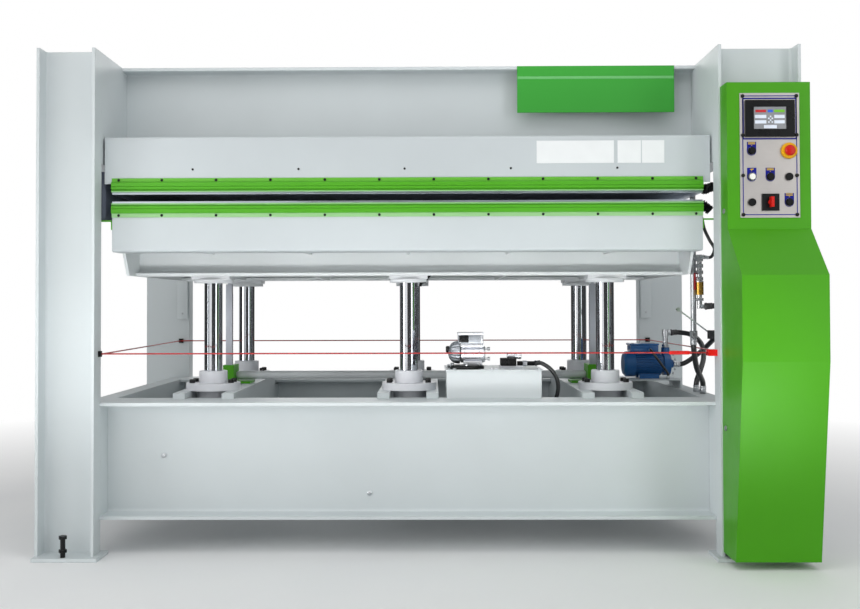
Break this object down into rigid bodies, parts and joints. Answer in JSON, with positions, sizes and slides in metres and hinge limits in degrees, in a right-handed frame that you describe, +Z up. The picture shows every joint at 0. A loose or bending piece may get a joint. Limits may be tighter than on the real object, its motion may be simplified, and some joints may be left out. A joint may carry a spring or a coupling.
{
  "type": "hydraulic press",
  "caption": "Down-loading hot platen press: welded frame, lifting bed on six cylinders with racks and a torsion shaft, fixed upper platen, power units and a control cabinet.",
  "frame": {"origin": "on the floor, at the centre of the rectangle of the four columns", "axes": "+X to the operator's right, +Y from the operator's side to the back, +Z up"},
  "size_m": [3.115, 2.01, 2.085],
  "materials": {
    "frame_paint": "light grey structured paint",
    "insulation": "dark insulating board",
    "platen_steel": "machined",
    "rail_green": "satin yellow-green paint",
    "gland_paint": "off-white paint",
    "black_steel": "blackened steel",
    "housing_green": "yellow-green paint",
    "tank_paint": "pale grey paint",
    "cast_aluminium": "cast",
    "valve_steel": "plated",
    "pump_blue": "blue enamel",
    "zinc_pipe": "galvanised",
    "black_plastic": "black moulded",
    "hose_black": "black rubber hose",
    "rope_red": "red sheathed rope",
    "cabinet_green": "yellow-green structured paint",
    "panel_steel": "brushed plate",
    "screen_black": "black bezel",
    "sign_green": "green",
    "rod_chrome": "polished",
    "rack_steel": "oiled",
    "shaft_paint": "pale grey paint",
    "lever_red": "red dipped lever",
    "stop_red": "red moulded",
    "lamp_white": "white lens"
  },
  "bodies": {
    "frame": {"front_left_column": "frame_paint", "front_right_column": "frame_paint", "rear_left_column": "frame_paint", "rear_right_column": "frame_paint", "upper_side_members": "frame_paint", "lower_side_members": "frame_paint", "front_top_beam": "frame_paint", "rear_top_beam": "frame_paint", "front_base_beam": "frame_paint", "rear_base_beam": "frame_paint", "cross_members": "frame_paint", "press_head": "frame_paint", "upper_insulation": "insulation", "upper_platen": "platen_steel", "upper_rails": "rail_green", "upper_covers": "frame_paint", "front_cylinders": "frame_paint", "rear_cylinders": "frame_paint", "gland_rings": "gland_paint", "flange_bolts": "black_steel", "levelling_bolts": "black_steel", "pinion_housings": "housing_green", "oil_tank": "tank_paint", "oil_pump_motor": "cast_aluminium", "valve_block": "valve_steel", "water_pump_motor": "pump_blue", "water_pump_casing": "pump_blue", "pump_outlet_pipe": "zinc_pipe", "pump_shelf": "frame_paint", "riser_pipe": "zinc_pipe", "valve_column": "zinc_pipe", "limit_switch": "black_plastic", "trip_rope": "rope_red", "rope_switch": "rope_red", "rope_guides": "black_plastic", "control_cabinet": "cabinet_green", "control_panel": "panel_steel", "touch_screen": "screen_black", "button_bezels": "black_plastic", "sign_plate": "sign_green", "frame_hoses": "hose_black"},
    "bed": {"bed_frame": "frame_paint", "lower_insulation": "insulation", "lower_platen": "platen_steel", "lower_rails": "rail_green", "aprons": "frame_paint", "front_piston_rods": "rod_chrome", "rear_piston_rods": "rod_chrome", "racks": "rack_steel", "platen_hose": "hose_black"},
    "synchroniser": {"torsion_shaft": "shaft_paint", "pinions": "rack_steel"},
    "valve_lever": {"valve_lever": "lever_red"},
    "limit_switch_lever": {"limit_switch_lever": "zinc_pipe"},
    "emergency_stop": {"emergency_stop": "stop_red"},
    "main_switch": {"main_switch_handle": "stop_red"},
    "lamp_button": {"lamp_button": "lamp_white"},
    "upper_left_button": {"upper_left_button": "black_plastic"},
    "middle_button": {"middle_button": "black_plastic"},
    "lower_right_button": {"lower_right_button": "black_plastic"}
  },
  "joints": [
    {"name": "bed_lift", "type": "slide", "parent": "frame", "child": "bed", "axis": [0, 0, 1], "range_m": [-0.24, 0.0287], "deforming": ["platen_hose"]},
    {"name": "synchroniser_turn", "type": "hinge", "parent": "frame", "child": "synchroniser", "pos_m": [0, 0, 0.69], "axis": [1, 0, 0], "range_deg": [-47, 383]},
    {"name": "valve_turn", "type": "hinge", "parent": "frame", "child": "valve_lever", "pos_m": [1.2457, -0.543, 1.1], "axis": [1, 0, 0], "range_deg": [0, 90]},
    {"name": "limit_switch_swing", "type": "hinge", "parent": "frame", "child": "limit_switch_lever", "pos_m": [1.286, -0.63, 0.901], "axis": [0, 1, 0], "range_deg": [-30, 15], "stiffness_Nm_per_rad": 5},
    {"name": "emergency_stop_press", "type": "slide", "parent": "frame", "child": "emergency_stop", "axis": [0, 1, 0], "range_m": [0, 0.005], "stiffness_N_per_m": 600},
    {"name": "main_switch_turn", "type": "hinge", "parent": "frame", "child": "main_switch", "pos_m": [1.445, -0.95, 1.432], "axis": [0, -1, 0], "range_deg": [-90, 0]},
    {"name": "lamp_button_press", "type": "slide", "parent": "frame", "child": "lamp_button", "axis": [0, 1, 0], "range_m": [0, 0.004], "stiffness_N_per_m": 400},
    {"name": "upper_left_button_press", "type": "slide", "parent": "frame", "child": "upper_left_button", "axis": [0, 1, 0], "range_m": [0, 0.004], "stiffness_N_per_m": 400},
    {"name": "middle_button_press", "type": "slide", "parent": "frame", "child": "middle_button", "axis": [0, 1, 0], "range_m": [0, 0.004], "stiffness_N_per_m": 400},
    {"name": "lower_right_button_press", "type": "slide", "parent": "frame", "child": "lower_right_button", "axis": [0, 1, 0], "range_m": [0, 0.004], "stiffness_N_per_m": 400}
  ],
  "couplings": [
    {"joint": "synchroniser_turn", "follows": "bed_lift", "rad_per_m": -27.778}
  ]
}
